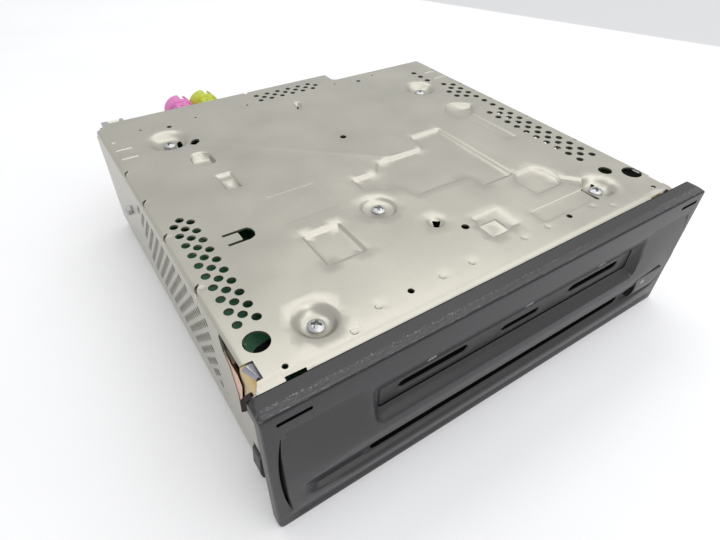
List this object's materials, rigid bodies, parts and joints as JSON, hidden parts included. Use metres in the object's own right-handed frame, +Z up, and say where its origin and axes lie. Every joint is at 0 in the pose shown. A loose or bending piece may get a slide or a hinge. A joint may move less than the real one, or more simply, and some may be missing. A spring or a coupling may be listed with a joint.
{
  "type": "car disc and memory card reader",
  "caption": "Single-height car disc and memory card reader: folded steel case, moulded charcoal front with a disc slot and card slots, coaxial connectors at the rear.",
  "frame": {"origin": "middle of the unit on its resting plane, which is the bottom of the front and of the four stamped feet", "axes": "+Z up; +Y runs from the moulded front back to the connectors; +X is to the right seen from the front"},
  "size_m": [0.188, 0.2012, 0.0574],
  "materials": {
    "steel_sheet": "zinc plated steel sheet with a warm grey passivation",
    "bright_steel": "plain bright steel",
    "front_plastic": "charcoal ABS with a fine grain, worn lighter on the top edge",
    "plate_plastic": "charcoal plastic, a little smoother than the front",
    "black_plastic": "black moulded plastic",
    "spring_bronze": "copper coloured spring strip",
    "board_green": "green printed circuit board",
    "rubber": "soft black rubber",
    "felt": "black felt strip",
    "white_plastic": "white acetal",
    "ivory_plastic": "ivory nylon",
    "pink_plastic": "pink connector shroud",
    "lime_plastic": "yellow-green connector shroud",
    "aluminium": "cast or drawn aluminium",
    "lens_glass": "coated lens"
  },
  "bodies": {
    "case": {"bezel": "front_plastic", "card_plate": "plate_plastic", "chassis_tray": "steel_sheet", "coax_shroud_lime": "lime_plastic", "coax_shroud_pink": "pink_plastic", "damper_front_left": "rubber", "damper_front_right": "rubber", "damper_rear_left": "rubber", "damper_rear_right": "rubber", "data_connector": "ivory_plastic", "drive_base": "steel_sheet", "drive_cover": "steel_sheet", "eject_switch": "black_plastic", "front_board": "board_green", "guide_rod_left": "bright_steel", "guide_rod_right": "bright_steel", "heat_spreader": "aluminium", "lid_screw_front_left": "bright_steel", "lid_screw_front_right": "bright_steel", "lid_screw_middle": "bright_steel", "lid_screw_rear_left": "bright_steel", "lid_screw_rear_right": "bright_steel", "loading_motor": "bright_steel", "main_board": "board_green", "power_connector": "black_plastic", "rear_panel": "steel_sheet", "sd_left_socket": "bright_steel", "sd_right_socket": "bright_steel", "sim_socket": "bright_steel", "sled_motor": "bright_steel", "slot_felt_lower": "felt", "slot_felt_upper": "felt", "spindle_motor": "bright_steel", "stud_left": "bright_steel", "stud_right": "bright_steel", "top_cover": "steel_sheet", "tuner_can": "bright_steel", "upper_frame": "steel_sheet"},
    "eject_button": {"eject_button": "front_plastic"},
    "loading_roller": {"feed_roller": "rubber", "roller_shaft": "bright_steel", "roller_gear": "white_plastic"},
    "idler_gear": {"idler_gear": "white_plastic"},
    "motor_pinion": {"motor_pinion": "white_plastic"},
    "turntable": {"turntable": "black_plastic"},
    "clamp_arm": {"clamp_arm": "bright_steel"},
    "clamp_disc": {"clamp_disc": "black_plastic"},
    "pickup_sled": {"pickup_sled": "aluminium"},
    "pickup_lens": {"pickup_lens": "lens_glass"},
    "lead_screw": {"lead_screw": "bright_steel"},
    "sd_left_slider": {"sd_left_slider": "black_plastic"},
    "sd_right_slider": {"sd_right_slider": "black_plastic"},
    "sim_slider": {"sim_slider": "black_plastic"},
    "lock_left": {"lock_spring_left": "spring_bronze", "lock_catch_left": "black_plastic"},
    "lock_right": {"lock_spring_right": "spring_bronze", "lock_catch_right": "black_plastic"}
  },
  "joints": [
    {"name": "eject_press", "type": "slide", "parent": "case", "child": "eject_button", "axis": [0, 1, 0], "range_m": [0, 0.0012], "stiffness_N_per_m": 400, "springref_m": -0.0006},
    {"name": "roller_spin", "type": "hinge", "parent": "case", "child": "loading_roller", "pos_m": [0, -0.0804, 0.01225], "axis": [1, 0, 0], "continuous": true},
    {"name": "idler_spin", "type": "hinge", "parent": "case", "child": "idler_gear", "pos_m": [0.0677, -0.0683, 0.01225], "axis": [1, 0, 0], "continuous": true},
    {"name": "pinion_spin", "type": "hinge", "parent": "case", "child": "motor_pinion", "pos_m": [0.0677, -0.05805, 0.01125], "axis": [1, 0, 0], "continuous": true},
    {"name": "turntable_spin", "type": "hinge", "parent": "case", "child": "turntable", "pos_m": [0, -0.0264, 0.01275], "axis": [0, 0, 1], "continuous": true},
    {"name": "clamp_swing", "type": "hinge", "parent": "case", "child": "clamp_arm", "pos_m": [0, 0.0396, 0.021], "axis": [1, 0, 0], "range_deg": [0, 1.5], "stiffness_Nm_per_rad": 2, "springref_deg": -1.15},
    {"name": "clamp_disc_spin", "type": "hinge", "parent": "clamp_arm", "child": "clamp_disc", "pos_m": [0, -0.0264, 0.02], "axis": [0, 0, 1], "continuous": true},
    {"name": "sled_slide", "type": "slide", "parent": "case", "child": "pickup_sled", "axis": [0, 1, 0], "range_m": [0, 0.03]},
    {"name": "lens_focus", "type": "slide", "parent": "pickup_sled", "child": "pickup_lens", "axis": [0, 0, 1], "range_m": [-0.0002, 0.0004], "stiffness_N_per_m": 100},
    {"name": "screw_spin", "type": "hinge", "parent": "case", "child": "lead_screw", "pos_m": [-0.031, 0.0216, 0.0069], "axis": [0, 1, 0], "continuous": true},
    {"name": "sd_left_push", "type": "slide", "parent": "case", "child": "sd_left_slider", "axis": [0, 1, 0], "range_m": [0, 0.0045], "stiffness_N_per_m": 100, "springref_m": -0.001},
    {"name": "sd_right_push", "type": "slide", "parent": "case", "child": "sd_right_slider", "axis": [0, 1, 0], "range_m": [0, 0.0045], "stiffness_N_per_m": 100, "springref_m": -0.001},
    {"name": "sim_push", "type": "slide", "parent": "case", "child": "sim_slider", "axis": [0, 1, 0], "range_m": [0, 0.003], "stiffness_N_per_m": 100, "springref_m": -0.001},
    {"name": "lock_left_flex", "type": "hinge", "parent": "case", "child": "lock_left", "pos_m": [-0.0883, -0.0404, 0.028], "axis": [0, 0, 1], "range_deg": [0, 3], "stiffness_Nm_per_rad": 4, "springref_deg": -0.57},
    {"name": "lock_right_flex", "type": "hinge", "parent": "case", "child": "lock_right", "pos_m": [0.0883, -0.0404, 0.028], "axis": [0, 0, -1], "range_deg": [0, 3], "stiffness_Nm_per_rad": 4, "springref_deg": -0.57}
  ],
  "couplings": [
    {"joint": "idler_spin", "follows": "roller_spin", "ratio": -0.66667},
    {"joint": "pinion_spin", "follows": "roller_spin", "ratio": 1.6},
    {"joint": "screw_spin", "follows": "sled_slide", "rad_per_m": 2094.4}
  ]
}
